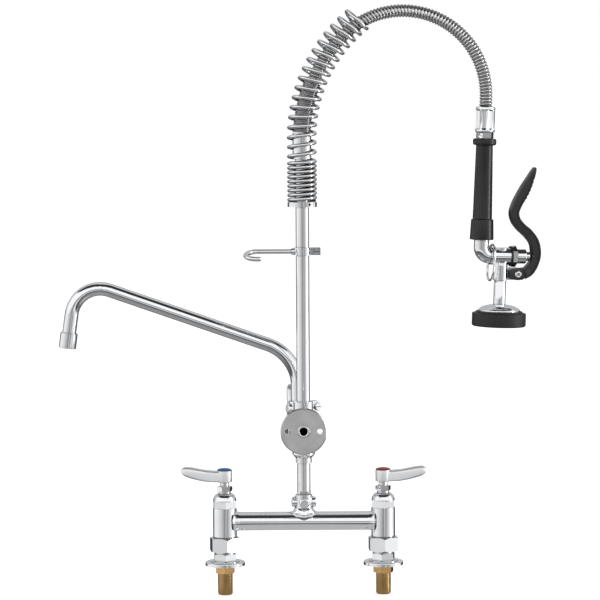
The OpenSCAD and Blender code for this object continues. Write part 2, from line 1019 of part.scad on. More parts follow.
// Bend of the spring's axis at that distance, in degrees
function spring_a(s) =
    max(0, s - (spring_bend_z - spring_foot_z)) / spring_bend_r * 180 / PI;
function spring_axis(s) =
    let (a = spring_a(s))
    a > 0
        ? [spring_bend_r * (1 - cos(a)), 0, spring_bend_z + spring_bend_r * sin(a)]
        : [0, 0, spring_foot_z + s];
function spring_side(s) = [cos(spring_a(s)), 0, -sin(spring_a(s))];
function spring_out(turns) =
    cos(360 * turns) * spring_side(spring_s(turns)) + sin(360 * turns) * [0, 1, 0];
function spring_point(turns) =
    spring_axis(spring_s(turns)) + (spring_od - spring_wire) / 2 * spring_out(turns);
function unit(v) = v / norm(v);

module overhead_spring() {
    rings_per_turn = 16;
    sides = 8;
    last = (closed_turns + open_turns) * rings_per_turn;
    step = 1 / rings_per_turn;
    points = [
        for (i = [0:last])
            let (
                t = i * step,
                out = spring_out(t),
                along = unit(spring_point(t + step / 4) - spring_point(t - step / 4)),
                up = unit(cross(along, out))
            )
            for (j = [0:sides - 1])
                spring_point(t)
                    + spring_wire / 2 * (cos(360 * j / sides) * out + sin(360 * j / sides) * up)
    ];
    skin = [
        for (i = [0:last - 1])
            for (j = [0:sides - 1])
                let (k = (j + 1) % sides)
                each [
                    [i * sides + j, (i + 1) * sides + j, (i + 1) * sides + k],
                    [i * sides + j, (i + 1) * sides + k, i * sides + k]
                ]
    ];
    ends = [
        [for (j = [0:sides - 1]) j],
        [for (j = [sides - 1:-1:0]) last * sides + j]
    ];
    color(chrome_tone)
        polyhedron(points = points, faces = concat(skin, ends), convexity = 10);
}

// ---------- Spray valve ----------

// Upright frame of the spray valve, leaning with the end of the hose
module in_spray() {
    translate([spray_x, 0, spray_z])
        rotate([0, spray_lean, 0])
            rotate([0, 0, spray_turn])
                children();
}

// Along the valve's horizontal axis: local +Z of the children runs along +X
module along_valve() {
    rotate([0, 90, 0])
        children();
}

module hose_ferrule() {
    color(chrome_tone)
        in_spray()
            difference() {
                union() {
                    bar(12.4, ferrule_z + 0.1, ferrule_top - 1.5);
                    translate([0, 0, ferrule_top - 1.6])
                        cylinder(h = 1.6, r1 = 12.4, r2 = 10.6);
                }
                bar(hose_od / 2 + 0.02, drop_len - hose_tail - 0.2, ferrule_top + 1);
                bar(hose_bore_r, ferrule_z - 1, drop_len);
            }
}

module hose_nut() {
    color(chrome_tone)
        in_spray()
            difference() {
                hex_prism(23, nut_z, ferrule_z, 1);
                bar(hose_bore_r, nut_z - 1, ferrule_z + 1);
            }
}

module grip() {
    taper_r = grip_od / 2 - 0.8;
    foot_r = grip_od / 2 + 0.8;
    bore_r = 7.6;
    color(black_tone)
        in_spray()
            difference() {
                union() {
                    soft_disc(14.9, grip_ring_z, grip_top, 1.2);
                    translate([0, 0, grip_ring_z - 2])
                        cylinder(h = 2.1, r1 = taper_r, r2 = 13.4);
                    translate([0, 0, grip_flare_z + 3])
                        cylinder(h = grip_ring_z - grip_flare_z - 4.9, r1 = foot_r, r2 = taper_r);
                    translate([0, 0, grip_flare_z])
                        cylinder(h = 3.1, r1 = 14.3, r2 = foot_r);
                    translate([0, 0, grip_z + 1])
                        cylinder(h = grip_flare_z - grip_z - 0.9, r1 = 15.2, r2 = 14.3);
                    translate([0, 0, grip_z])
                        cylinder(h = 1.1, r1 = 14.4, r2 = 15.2);
                }
                bar(bore_r, grip_z + 6, grip_top + 1);
                bar(elbow_r, grip_z - 1, grip_z + 6.01);
            }
}

module elbow() {
    bore_r = 5.6;
    color(chrome_tone)
        in_spray() {
            difference() {
                union() {
                    bar(elbow_r, elbow_bend, grip_z + 6);
                    bar(7.6, grip_z + 5.9, grip_top);
                    translate([0, 0, elbow_bend])
                        mirror([0, 0, 1])
                            bend(elbow_bend, 90, elbow_r);
                }
                bar(bore_r, elbow_bend, grip_top + 1);
                translate([0, 0, elbow_bend])
                    mirror([0, 0, 1])
                        bend(elbow_bend, 90, bore_r);
            }
        }
}

module spray_body() {
    barrel_r = 8.9;
    lug_top = -14.2;
    lug_foot = -30;
    color(chrome_tone)
        in_spray()
            difference() {
                union() {
                    along_valve()
                        bar(valve_r, elbow_bend, valve_end);
                    // Outlet leg under the valve, blended into it by a flare
                    translate([valve_x, 0, 0])
                        bar(barrel_r, outlet_z, valve_r - 0.7);
                    translate([valve_x, 0, -18])
                        flare(barrel_r - 0.05, valve_r - 0.6, 0, 13);
                    // Tongue that carries the hand lever's pivot
                    translate([valve_x, -lug_half, lug_foot])
                        cube([pivot_x - valve_x, 2 * lug_half, lug_top - lug_foot]);
                    translate([pivot_x, lug_half, pivot_z])
                        rotate([90, 0, 0])
                            cylinder(h = 2 * lug_half, r = 5.6);
                }
                along_valve() {
                    bar(5.6, elbow_bend - 1, valve_x);
                    bar(7, valve_x - 6, valve_end + 1);
                }
                translate([valve_x, 0, 0])
                    bar(5.5, outlet_z - 1, -2);
                translate([pivot_x, 10, pivot_z])
                    rotate([90, 0, 0])
                        cylinder(h = 20, r = pivot_r);
                translate([pivot_x - 7, -lug_half - 1, lug_top - 1.3])
                    rotate([0, -14, 0])
                        cube([20, 2 * lug_half + 2, 10]);
            }
}

module valve_gasket() {
    color(black_tone)
        in_spray()
            along_valve()
                ring(12.9, 7.9, valve_end + 0.05, gasket_end);
}

module valve_bonnet() {
    color(chrome_tone)
        in_spray()
            along_valve()
                difference() {
                    union() {
                        hex_prism(27.6, gasket_end + 0.05, bonnet_hex_end, 1);
                        soft_disc(9.35, bonnet_hex_end - 1, bonnet_end, 1);
                        bar(6.95, valve_end - 6, gasket_end + 1);
                    }
                    bar(plunger_r + run_gap, valve_end - 7, bonnet_end + 1);
                }
}

module plunger() {
    dome_h = 2.4;
    color(chrome_tone)
        in_spray()
            along_valve() {
                bar(plunger_r, valve_end - 1, plunger_tip - dome_h);
                dome(plunger_r, plunger_tip - dome_h, dome_h);
                // Poppet stem and valve disc inside the body
                bar(2.4, valve_x - 1, valve_end - 0.5);
            }
}

module pivot_screw() {
    head_r = 4.9;
    head_h = 2.2;
    color(chrome_tone)
        in_spray()
            translate([pivot_x, 0, pivot_z])
                rotate([90, 0, 0]) {
                    translate([0, 0, -lever_half - 2.4])
                        cylinder(h = 2 * lever_half + 4.8, r = pivot_r - 0.01);
                    difference() {
                        translate([0, 0, lever_half + 0.2])
                            soft_disc(head_r, 0, head_h, 0.9);
                        translate([0, 0, lever_half + 1.3])
                            cylinder(h = 3, r = 1.9, $fn = 6);
                    }
                    translate([0, 0, -lever_half - 2.4])
                        difference() {
                            cylinder(h = 2.2, r = 4.2, $fn = 6);
                            translate([0, 0, -1])
                                cylinder(h = 5, r = pivot_r - 0.02);
                        }
                }
}

// Smooth curve through the lever's spine points
function clamp_index(i) = min(max(i, 0), len(lever_spine) - 1);
function spine_at(i, t) =
    let (
        a = lever_spine[clamp_index(i - 1)],
        b = lever_spine[i],
        c = lever_spine[clamp_index(i + 1)],
        d = lever_spine[clamp_index(i + 2)]
    )
    0.5 * (2 * b + (c - a) * t + (2 * a - 5 * b + 4 * c - d) * t * t
        + (3 * b - 3 * c + d - a) * t * t * t);
function spine_edge(i, t, side) =
    let (
        here = spine_at(i, t),
        ahead = spine_at(i, t + 0.02),
        way = unit([ahead[0] - here[0], ahead[1] - here[1]])
    )
    [here[0], here[1]] + side * here[2] / 2 * [way[1], -way[0]];

module lever_outline() {
    parts = 3;
    stations = [for (i = [0:len(lever_spine) - 2]) for (k = [0:parts - 1]) [i, k / parts]];
    tip = lever_spine[len(lever_spine) - 1];
    right = [for (s = stations) spine_edge(s[0], s[1], 1)];
    left = [for (i = [len(stations) - 1:-1:0]) spine_edge(stations[i][0], stations[i][1], -1)];
    polygon(concat(right, [[tip[0] + 1.2, tip[1] + 1.5], [tip[0] - 0.8, tip[1] + 2]], left));
}

module squeeze_lever() {
    cheek_in = lug_half + 0.3;
    color(dark_tone)
        in_spray()
            rotate([90, 0, 0])
                difference() {
                    union() {
                        translate([0, 0, -lever_half])
                            linear_extrude(height = 2 * lever_half)
                                lever_outline();
                        // Fork that straddles the pivot tongue
                        translate([0, 0, -lever_half])
                            linear_extrude(height = 2 * lever_half)
                                polygon([
                                    [35.6, -28.5], [35.6, -17.4], [40, -15.8], [60, -14.2],
                                    [64, -16], [62, -24.5], [53, -30], [48, -30.5]
                                ]);
                    }
                    translate([30, -40, -cheek_in])
                        cube([24.5, 40, 2 * cheek_in]);
                    translate([pivot_x, pivot_z, -20])
                        cylinder(h = 40, r = pivot_r + run_gap - 0.01);
                }
}

module hold_ring() {
    wire_r = ring_wire / 2;
    color(chrome_tone)
        in_spray()
            translate([ring_x, 0, 0])
                rotate([0, ring_tilt, 0])
                    rotate([0, 90, 0]) {
                        // Half loops: the upper one sits round the valve, the lower one hangs
                        rotate([0, 0, 90])
                            rotate_extrude(angle = 180)
                                translate([ring_r, 0])
                                    circle(r = wire_r);
                        translate([ring_drop, 0, 0])
                            rotate([0, 0, -90])
                                rotate_extrude(angle = 180)
                                    translate([ring_r, 0])
                                        circle(r = wire_r);
                        for (side = [-1, 1])
                            translate([0, side * ring_r, 0])
                                rotate([0, 90, 0])
                                    cylinder(h = ring_drop, r = wire_r);
                    }
}

// Places children on the spray outlet's axis
module on_outlet() {
    in_spray()
        translate([valve_x, 0, 0])
            children();
}

module spray_head() {
    plate_r = 26.7;
    bore_r = 2.2;
    color(chrome_tone)
        on_outlet()
            difference() {
                union() {
                    bar(spray_tube_od / 2, tube_foot, outlet_z - 0.05);
                    bar(5.45, outlet_z - 1, outlet_z + 10);
                    dome(plate_r, plate_z, 8);
                    bar(plate_r, plate_foot, plate_z + 0.1);
                }
                bar(bore_r, plate_foot - 1, outlet_z + 11);
            }
}

module spray_face() {
    face_r = 25;
    face_top = plate_foot - 0.1;
    color(zinc_tone)
        on_outlet()
            difference() {
                bar(face_r, face_z + 4, face_top);
                for (k = [1:3])
                    for (j = [0:6 * k - 1])
                        rotate([0, 0, j * 60 / k])
                            translate([6.6 * k, 0, 0])
                                bar(1, face_z + 3, face_top + 1);
                bar(1, face_z + 3, face_top + 1);
            }
}

module bumper() {
    step_r = 30;
    rim_top = -72.5;
    step_top = -70.3;
    color(black_tone)
        on_outlet()
            difference() {
                union() {
                    soft_disc(bumper_od / 2, face_z + 1.4, rim_top, 1);
                    translate([0, 0, face_z])
                        cylinder(h = 1.5, r1 = bumper_od / 2 - 1.2, r2 = bumper_od / 2);
                    soft_disc(step_r, rim_top - 1, step_top, 0.8);
                }
                bar(26.75, plate_foot - 0.05, step_top + 1);
                bar(25.05, face_z - 1, plate_foot);
                translate([0, 0, face_z - 0.01])
                    cylinder(h = 4, r1 = 28.5, r2 = 25);
            }
}

bridge_body();
cold_shank();
cold_locknut();
cold_flange();
cold_adapter();
cold_union_nut();
cold_bonnet();
cold_packing_nut();
cold_stem();
cold_lever();
cold_index_cap();
hot_shank();
hot_locknut();
hot_flange();
hot_adapter();
hot_union_nut();
hot_bonnet();
hot_packing_nut();
hot_stem();
hot_lever();
hot_index_cap();
lug_nut();
lower_nipple();
add_on_body();
spout_nut();
spout_bonnet();
spout_packing_nut();
spout_stem();
spout_lever();
spout_index_cap();
spout_tube();
aerator_shell();
aerator_insert();
riser();
bracket_clamp();
bracket_screw();
bracket_tube();
wall_flange();
hook_clamp();
hook_screw();
hook_rod();
spring_collar();
riser_coupling();
overhead_spring();
hose_sleeve();
hose();
hose_ferrule();
hose_nut();
grip();
elbow();
spray_body();
valve_gasket();
valve_bonnet();
plunger();
pivot_screw();
squeeze_lever();
hold_ring();
spray_head();
spray_face();
bumper();
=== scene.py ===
import json
import math
import bpy
from mathutils import Matrix, Vector


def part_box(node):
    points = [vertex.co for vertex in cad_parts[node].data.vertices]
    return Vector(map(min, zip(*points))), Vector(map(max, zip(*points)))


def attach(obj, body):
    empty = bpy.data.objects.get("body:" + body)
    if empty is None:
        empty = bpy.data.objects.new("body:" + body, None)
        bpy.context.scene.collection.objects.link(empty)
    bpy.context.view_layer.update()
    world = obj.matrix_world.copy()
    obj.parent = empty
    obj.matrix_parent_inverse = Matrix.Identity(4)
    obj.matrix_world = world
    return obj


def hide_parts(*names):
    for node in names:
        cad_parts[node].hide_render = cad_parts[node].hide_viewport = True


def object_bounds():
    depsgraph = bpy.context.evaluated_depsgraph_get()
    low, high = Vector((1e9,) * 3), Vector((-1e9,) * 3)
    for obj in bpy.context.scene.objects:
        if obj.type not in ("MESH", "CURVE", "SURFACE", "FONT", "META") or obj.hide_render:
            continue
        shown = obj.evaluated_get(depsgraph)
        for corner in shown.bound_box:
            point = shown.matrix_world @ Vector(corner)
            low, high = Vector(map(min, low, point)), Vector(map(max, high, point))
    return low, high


MM = 0.001
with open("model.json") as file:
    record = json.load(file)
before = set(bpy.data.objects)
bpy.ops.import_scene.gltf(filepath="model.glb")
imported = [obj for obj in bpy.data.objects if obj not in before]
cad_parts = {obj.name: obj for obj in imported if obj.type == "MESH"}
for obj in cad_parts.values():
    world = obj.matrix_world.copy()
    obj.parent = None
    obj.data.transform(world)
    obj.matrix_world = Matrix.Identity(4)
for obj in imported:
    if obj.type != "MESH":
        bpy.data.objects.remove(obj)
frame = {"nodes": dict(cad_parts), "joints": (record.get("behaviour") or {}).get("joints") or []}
cad_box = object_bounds()
nodes = frame["nodes"]
scene = bpy.context.scene


# ---------- Camera ----------

LOOK_AT = Vector((-0.0035, 0.0, 0.341))
DISTANCE = 3.6
ELEVATION = 4.5
ROLL = -0.34
FRAME_WIDTH = 0.7655


def add_camera():
    camera = bpy.data.cameras.new("camera")
    camera.sensor_width = 36
    camera.lens = 36 * DISTANCE / FRAME_WIDTH
    camera.clip_end = 100
    holder = bpy.data.objects.new("camera", camera)
    scene.collection.objects.link(holder)
    e = math.radians(ELEVATION)
    away = Vector((0, -math.cos(e), math.sin(e)))
    turn = (-away).to_track_quat("-Z", "Y").to_matrix().to_4x4()
    roll = Matrix.Rotation(math.radians(ROLL), 4, "Z")
    holder.matrix_world = Matrix.Translation(LOOK_AT + away * DISTANCE) @ turn @ roll
    scene.camera = holder


add_camera()


# ---------- Node helpers ----------

# Socket places of the mix node when it mixes colours
MIX_AMOUNT, MIX_A, MIX_B, MIX_RESULT = 0, 6, 7, 2


class Nodes:
    """Short way to add and join shader nodes."""

    def __init__(self, tree):
        self.tree = tree
        self.x = -1400

    def add(self, kind, inputs=None, **settings):
        n = self.tree.nodes.new(kind)
        n.location = (self.x, 0)
        self.x += 40
        for k, v in settings.items():
            setattr(n, k, v)
        for k, v in (inputs or {}).items():
            if isinstance(v, bpy.types.NodeSocket):
                self.tree.links.new(v, n.inputs[k])
            else:
                n.inputs[k].default_value = v
        return n

    def math(self, op, a, b=None):
        n = self.add("ShaderNodeMath", operation=op)
        for i, v in enumerate((a, b)):
            if isinstance(v, bpy.types.NodeSocket):
                self.tree.links.new(v, n.inputs[i])
            elif v is not None:
                n.inputs[i].default_value = v
        return n.outputs[0]

    def mix(self, amount, a, b, blend="MIX"):
        """Colour a turned into colour b; each is a socket or a plain tone."""
        n = self.add("ShaderNodeMix", data_type="RGBA", blend_type=blend)
        for i, v in ((MIX_AMOUNT, amount), (MIX_A, a), (MIX_B, b)):
            if isinstance(v, bpy.types.NodeSocket):
                self.tree.links.new(v, n.inputs[i])
            else:
                n.inputs[i].default_value = v if i == MIX_AMOUNT else tone(v)
        return n.outputs[MIX_RESULT]

    def ramp(self, value, stops):
        """Colour along straight steps between (place, tone) stops."""
        n = self.add("ShaderNodeValToRGB", {"Fac": value})
        elements = n.color_ramp.elements
        while len(elements) > 1:
            elements.remove(elements[-1])
        elements[0].position = stops[0][0]
        elements[0].color = tone(stops[0][1])
        for at, colour in stops[1:]:
            elements.new(at).color = tone(colour)
        return n.outputs["Color"]

    def span(self, value, low, high, to_low, to_high):
        """Value eased from one range into another."""
        n = self.add("ShaderNodeMapRange", {"Value": value, "From Min": low, "From Max": high,
                                            "To Min": to_low, "To Max": to_high})
        n.interpolation_type = "SMOOTHSTEP"
        return n.outputs["Result"]

    def noise(self, at, scale, detail=3.0, rough=0.5):
        n = self.add("ShaderNodeTexNoise", {"Vector": at, "Scale": scale, "Detail": detail,
                                            "Roughness": rough})
        return n.outputs["Fac"]

    def bump(self, height, distance, strength=1.0, normal=None):
        inputs = {"Height": height, "Distance": distance, "Strength": strength}
        if normal is not None:
            inputs["Normal"] = normal
        return self.add("ShaderNodeBump", inputs).outputs["Normal"]


def tone(c):
    if isinstance(c, (int, float)):
        return (c, c, c, 1)
    return (c[0], c[1], c[2], 1)


def new_look(name):
    m = bpy.data.materials.new(name)
    m.use_nodes = True
    kit = Nodes(m.node_tree)
    shader = m.node_tree.nodes["Principled BSDF"]
    place = kit.add("ShaderNodeTexCoord").outputs["Object"]
    return m, kit, shader, place


def join(kit, shader, **links):
    for name, socket in links.items():
        kit.tree.links.new(socket, shader.inputs[name.replace("_", " ")])


# ---------- Looks ----------

# Painted shade: how dark a crevice is painted as less of the sky is open to it
SOFT_CREVICE_SHADE = [(0.25, 0.05), (0.62, 0.55), (0.80, 1.0)]
DEEP_CREVICE_SHADE = [(0.42, 0.02), (0.72, 0.30), (0.90, 1.0)]


def painted_crevice_shade(kit, colour, depth, fall=SOFT_CREVICE_SHADE):
    """Painted shade: darkens a colour in narrow gaps and along the foot of steps, where shade falls."""
    open_share = kit.add("ShaderNodeAmbientOcclusion", {"Distance": depth}, samples=6).outputs["AO"]
    return kit.mix(1.0, colour, kit.ramp(open_share, fall), "MULTIPLY")


def chrome_look(name, low, high, base, wave=0.00006, shade_reach=0.0035):
    m, kit, shader, at = new_look(name)
    cloud = kit.noise(at, 38, 4)
    fine = kit.noise(at, 900, 2)
    rough = kit.span(kit.math("ADD", cloud, kit.math("MULTIPLY", fine, 0.25)), 0.4, 0.85, low, high)
    # Painted shade: the plating colour is darkened in crevices and junctions by ambient occlusion
    colour = painted_crevice_shade(kit, kit.ramp(cloud, [(0.3, base), (0.7, [c * 0.94 for c in base])]), shade_reach)
    shader.inputs["Metallic"].default_value = 1
    ripple = kit.bump(kit.noise(at, 60, 1), wave)
    grain = kit.bump(fine, 0.000004, 0.6, ripple)
    join(kit, shader, Roughness=rough, Base_Color=colour, Normal=grain)
    return m


def brass_look(name, depth):
    """Turned brass with fine rings about Z; a depth below 1 is darker."""
    m, kit, shader, at = new_look(name)
    cloud = kit.noise(at, 70, 5, 0.6)
    fine = kit.noise(at, 1400, 3)
    z = kit.add("ShaderNodeSeparateXYZ", {"Vector": at}).outputs["Z"]
    ring_pitch = 0.0007
    rings = kit.math("SINE", kit.math("MULTIPLY", z, 2 * math.pi / ring_pitch))
    tones = [(0.3, (0.62, 0.37, 0.15)), (0.55, (0.70, 0.43, 0.18)), (0.75, (0.76, 0.49, 0.22))]
    colour = kit.ramp(cloud, [(where, [c * depth for c in t]) for where, t in tones])
    shader.inputs["Metallic"].default_value = 1
    rough = kit.span(kit.math("ADD", cloud, kit.math("MULTIPLY", fine, 0.4)), 0.4, 0.9, 0.08, 0.16)
    turned = kit.bump(rings, 0.00003, 0.35, kit.bump(fine, 0.00001, 0.4))
    join(kit, shader, Roughness=rough, Base_Color=colour, Normal=turned)
    return m


def casting_look():
    """Plated casting: polished on its rim and front, left as cast on its flat back."""
    m, kit, shader, at = new_look("casting_look")
    y = kit.add("ShaderNodeSeparateXYZ", {"Vector": at}).outputs["Y"]
    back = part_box("wall_flange")[0].y
    raw = kit.span(y, back + 0.0005, back + 0.0016, 1, 0)
    cloud = kit.noise(at, 55, 5, 0.6)
    pits = kit.noise(at, 1100, 4, 0.7)
    colour = kit.mix(raw, (0.82, 0.83, 0.85), kit.ramp(cloud, [(0.35, 0.54), (0.65, 0.66)]))
    rough = kit.math("ADD", kit.math("MULTIPLY", raw, 0.42), kit.span(cloud, 0.3, 0.7, 0.05, 0.12))
    shader.inputs["Metallic"].default_value = 1
    grain = kit.bump(pits, 0.00006, 0.5)
    join(kit, shader, Roughness=rough, Base_Color=colour, Normal=grain)
    return m


def wire_look():
    m, kit, shader, at = new_look("spring_look")
    cloud = kit.noise(at, 120, 4)
    streak = kit.noise(at, 1600, 2)
    colour = kit.ramp(cloud, [(0.3, (0.86, 0.87, 0.89)), (0.7, (0.78, 0.79, 0.81))])
    rough = kit.span(streak, 0.35, 0.7, 0.05, 0.10)
    shader.inputs["Metallic"].default_value = 1
    # Painted shade: the wire is darkened where coils crowd each other, by ambient occlusion
    colour = painted_crevice_shade(kit, colour, 0.007, DEEP_CREVICE_SHADE)
    join(kit, shader, Roughness=rough, Base_Color=colour, Normal=kit.bump(streak, 0.000006, 0.6))
    return m


def hose_look():
    """Stainless strip hose, with painted shade on its upward-facing ribs."""
    m, kit, shader, at = new_look("hose_look")
    cloud = kit.noise(at, 150, 4)
    fine = kit.noise(at, 2200, 3)
    colour = kit.ramp(cloud, [(0.3, (0.84, 0.84, 0.84)), (0.7, (0.74, 0.74, 0.74))])
    rough = kit.span(fine, 0.3, 0.7, 0.09, 0.17)
    shader.inputs["Metallic"].default_value = 1
    # Painted shade: darkened in the grooves between ribs, by ambient occlusion
    colour = painted_crevice_shade(kit, colour, 0.0045, DEEP_CREVICE_SHADE)
    normal = kit.add("ShaderNodeNewGeometry").outputs["Normal"]
    up = kit.add("ShaderNodeSeparateXYZ", {"Vector": normal}).outputs["Z"]
    # Painted shade: surfaces facing up are painted darker, down to 0.42 of the colour
    colour = kit.mix(1.0, colour, kit.ramp(up, [(0.10, 1.0), (0.55, 0.42)]), "MULTIPLY")
    join(kit, shader, Roughness=rough, Base_Color=colour, Normal=kit.bump(fine, 0.00001, 0.7))
    return m


def moulded_look(name, dark, light, rough_low, rough_high, grain=0.00003, scale=1500):
    m, kit, shader, at = new_look(name)
    cloud = kit.noise(at, 60, 5, 0.6)
    fine = kit.noise(at, scale, 4, 0.6)
    mottle = kit.math("ADD", kit.math("MULTIPLY", cloud, 0.7), kit.math("MULTIPLY", fine, 0.3))
    colour = kit.ramp(mottle, [(0.35, dark), (0.65, light)])
    rough = kit.span(cloud, 0.3, 0.7, rough_low, rough_high)
    join(kit, shader, Roughness=rough, Base_Color=colour, Normal=kit.bump(fine, grain, 0.6))
    return m


def steel_face_look():
    m, kit, shader, at = new_look("face_look")
    cloud = kit.noise(at, 90, 4)
    fine = kit.noise(at, 1800, 3)
    colour = kit.ramp(cloud, [(0.3, (0.62, 0.62, 0.63)), (0.7, (0.52, 0.52, 0.53))])
    rough = kit.span(fine, 0.3, 0.7, 0.2, 0.32)
    shader.inputs["Metallic"].default_value = 1
    join(kit, shader, Roughness=rough, Base_Color=colour, Normal=kit.bump(fine, 0.00001, 0.6))
    return m


PLATE_TONE = (0.90, 0.91, 0.93)
looks = {
    "chrome": chrome_look("chrome_look", 0.03, 0.09, PLATE_TONE),
    "brass": brass_look("brass_look", 1.0),
    "plated_casting": casting_look(),
    "stainless_hose": hose_look(),
    "spring_steel": wire_look(),
    "grip_rubber": moulded_look("grip_look", 0.004, 0.007, 0.22, 0.30),
    "lever_plastic": moulded_look("lever_look", 0.010, 0.017, 0.22, 0.32),
    "black_rubber": moulded_look("rubber_look", 0.004, 0.008, 0.42, 0.55),
    "blue_cap": moulded_look("blue_look", (0.004, 0.06, 0.16), (0.006, 0.075, 0.2), 0.25, 0.33,
                             0.00001),
    "red_cap": moulded_look("red_look", (0.15, 0.012, 0.012), (0.2, 0.018, 0.016), 0.25, 0.33,
                            0.00001),
    "plain_cap": chrome_look("cap_look", 0.08, 0.16, (0.80, 0.80, 0.82)),
    "aerator_plastic": moulded_look("aerator_look", 0.03, 0.06, 0.4, 0.5),
    "spray_face_steel": steel_face_look(),
}


# ---------- Mesh helpers ----------

def add_piece(name, body, slot, points, faces, stands_for=(), sharp=32, look=None):
    mesh = bpy.data.meshes.new(name)
    mesh.from_pydata([Vector(p) * MM for p in points], [], faces)
    mesh.validate()
    mesh.materials.append(look or looks[slot])
    for p in mesh.polygons:
        p.use_smooth = True
    mesh.set_sharp_from_angle(angle=math.radians(sharp))
    piece = bpy.data.objects.new(name, mesh)
    scene.collection.objects.link(piece)
    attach(piece, body)
    if stands_for:
        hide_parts(*stands_for)
    return piece


class Shape:
    """Points and faces of one piece, in millimetres, built up from lofts and lathes."""

    def __init__(self, place=None):
        self.points = []
        self.faces = []
        self.place = place or Matrix.Identity(4)

    def loft(self, rings, caps=True):
        """Skin over closed rings of the same number of points."""
        base = len(self.points)
        count = len(rings[0])
        for ring in rings:
            self.points += [self.place @ Vector(p) for p in ring]
        for i in range(len(rings) - 1):
            for j in range(count):
                a = base + i * count + j
                b = base + i * count + (j + 1) % count
                self.faces.append((a, b, b + count, a + count))
        if caps:
            self.faces.append(tuple(range(base + count - 1, base - 1, -1)))
            top = base + (len(rings) - 1) * count
            self.faces.append(tuple(range(top, top + count)))
        return self

    def lathe(self, profile, sides=72):
        """Profile of (radius, height) about Z, closed back on itself or meeting the axis at both ends."""
        rings = []
        for r, z in profile:
            r = max(r, 0.001)
            rings.append([(r * math.cos(2 * math.pi * k / sides), r * math.sin(2 * math.pi * k / sides), z)
                          for k in range(sides)])
        return self.loft(rings, caps=False)

    def plate(self, outline, y0, y1, edge=0.6):
        """Flat plate with softened edges: an outline in X and Z between two Y planes."""
        middle = Vector((sum(p[0] for p in outline), sum(p[1] for p in outline))) / len(outline)
        rings = []
        for y, pull in ((y0, edge), (y0 + edge * 0.3, edge * 0.3), (y0 + edge, 0),
                        (y1 - edge, 0), (y1 - edge * 0.3, edge * 0.3), (y1, edge)):
            ring = []
            for p in outline:
                d = Vector(p) - middle
                q = middle + d * (1 - pull / max(d.length, 1))
                ring.append((q.x, y, q.y))
            rings.append(ring)
        return self.loft(rings)

    def add(self, name, body, slot, stands_for=(), sharp=32, look=None):
        return add_piece(name, body, slot, self.points, self.faces, stands_for, sharp, look)


def rounded(corners, steps=5):
    """Profile points with each corner (x, y, radius) replaced by an arc."""
    out = []
    for i, (x, y, r) in enumerate(corners):
        here = Vector((x, y))
        if r <= 0 or i in (0, len(corners) - 1):
            out.append((x, y))
            continue
        back = Vector(corners[i - 1][:2]) - here
        on = Vector(corners[i + 1][:2]) - here
        half = back.angle(on) / 2
        reach = min(r / math.tan(half), back.length * 0.499, on.length * 0.499)
        r = reach * math.tan(half)
        a = here + back.normalized() * reach
        b = here + on.normalized() * reach
        centre = here + (back.normalized() + on.normalized()).normalized() * (r / math.sin(half))
        va, vb = a - centre, b - centre
        sweep = math.atan2(va.x * vb.y - va.y * vb.x, va.dot(vb))
        for k in range(steps + 1):
            t = sweep * k / steps
            out.append((centre.x + va.x * math.cos(t) - va.y * math.sin(t),
                        centre.y + va.x * math.sin(t) + va.y * math.cos(t)))
    return out


def between(table, x):
    """Smooth value at x through a table of (x, value)."""
    if x <= table[0][0]:
        return table[0][1]
    for i in range(len(table) - 1):
        (x0, v0), (x1, v1) = table[i], table[i + 1]
        if x <= x1:
            before = table[max(i - 1, 0)]
            after = table[min(i + 2, len(table) - 1)]
            m0 = (v1 - before[1]) / (x1 - before[0])
            m1 = (after[1] - v0) / (after[0] - x0)
            h = x1 - x0
            t = (x - x0) / h
            return ((2 * t**3 - 3 * t**2 + 1) * v0 + (t**3 - 2 * t**2 + t) * h * m0
                    + (3 * t**2 - 2 * t**3) * v1 + (t**3 - t**2) * h * m1)
    return table[-1][1]


def turn(axis, degrees):
    return Matrix.Rotation(math.radians(degrees), 4, axis)


def shift(x, y, z):
    return Matrix.Translation((x, y, z))


# ---------- Where things are ----------

joints = {j["name"]: j for j in frame["joints"]}
swivel_axis = Vector(joints["spray_swivel"]["axis"])
ring_axis = Vector(joints["ring_swing"]["axis"])
# The hold-down ring hangs this far along the valve from the grip's axis
RING_X = 14.0
spray_at = Vector(joints["ring_swing"]["pos_m"]) / MM - ring_axis * RING_X
squeeze_axis = Vector(joints["trigger_squeeze"]["axis"])
spray_frame = Matrix((ring_axis, -squeeze_axis, swivel_axis)).transposed().to_4x4()
SPRAY = Matrix.Translation(spray_at) @ spray_frame


def leg_x(side):
    low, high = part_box(side + "_stem")
    return (low.x + high.x) / 2 / MM


# Hub of a lever handle, on a leg whose stem stands upright
HUB_Z = 107.5
HUB_TOP = 122.5
HUB_R = 9.7
# The add-on valve lies along its arm, and so does its handle's hub
ARM_TURN = 97.0
ARM_Z = 164.0
ARM_OUT = 6.0
SPOUT_VALVE = (shift(0, 0, ARM_Z) @ turn("Z", ARM_TURN) @ shift(ARM_OUT, 0, 0)
               @ turn("Y", 90) @ turn("Z", 180))


# ---------- Spring, hose and sleeve ----------

# The hose leans over in a wide bend, then arches down and ends in a straight tail
BEND_Z, BEND_R, BEND_A = 547.0, 184.5, 44.0
ARCH_R, ARCH_A, TAIL = 106.0, 137.8, 32.0
HOSE_R = 8.2
# Degrees of the wide bend that the sleeve covers
SLEEVE_FROM, SLEEVE_TO = 2.4, 22.8


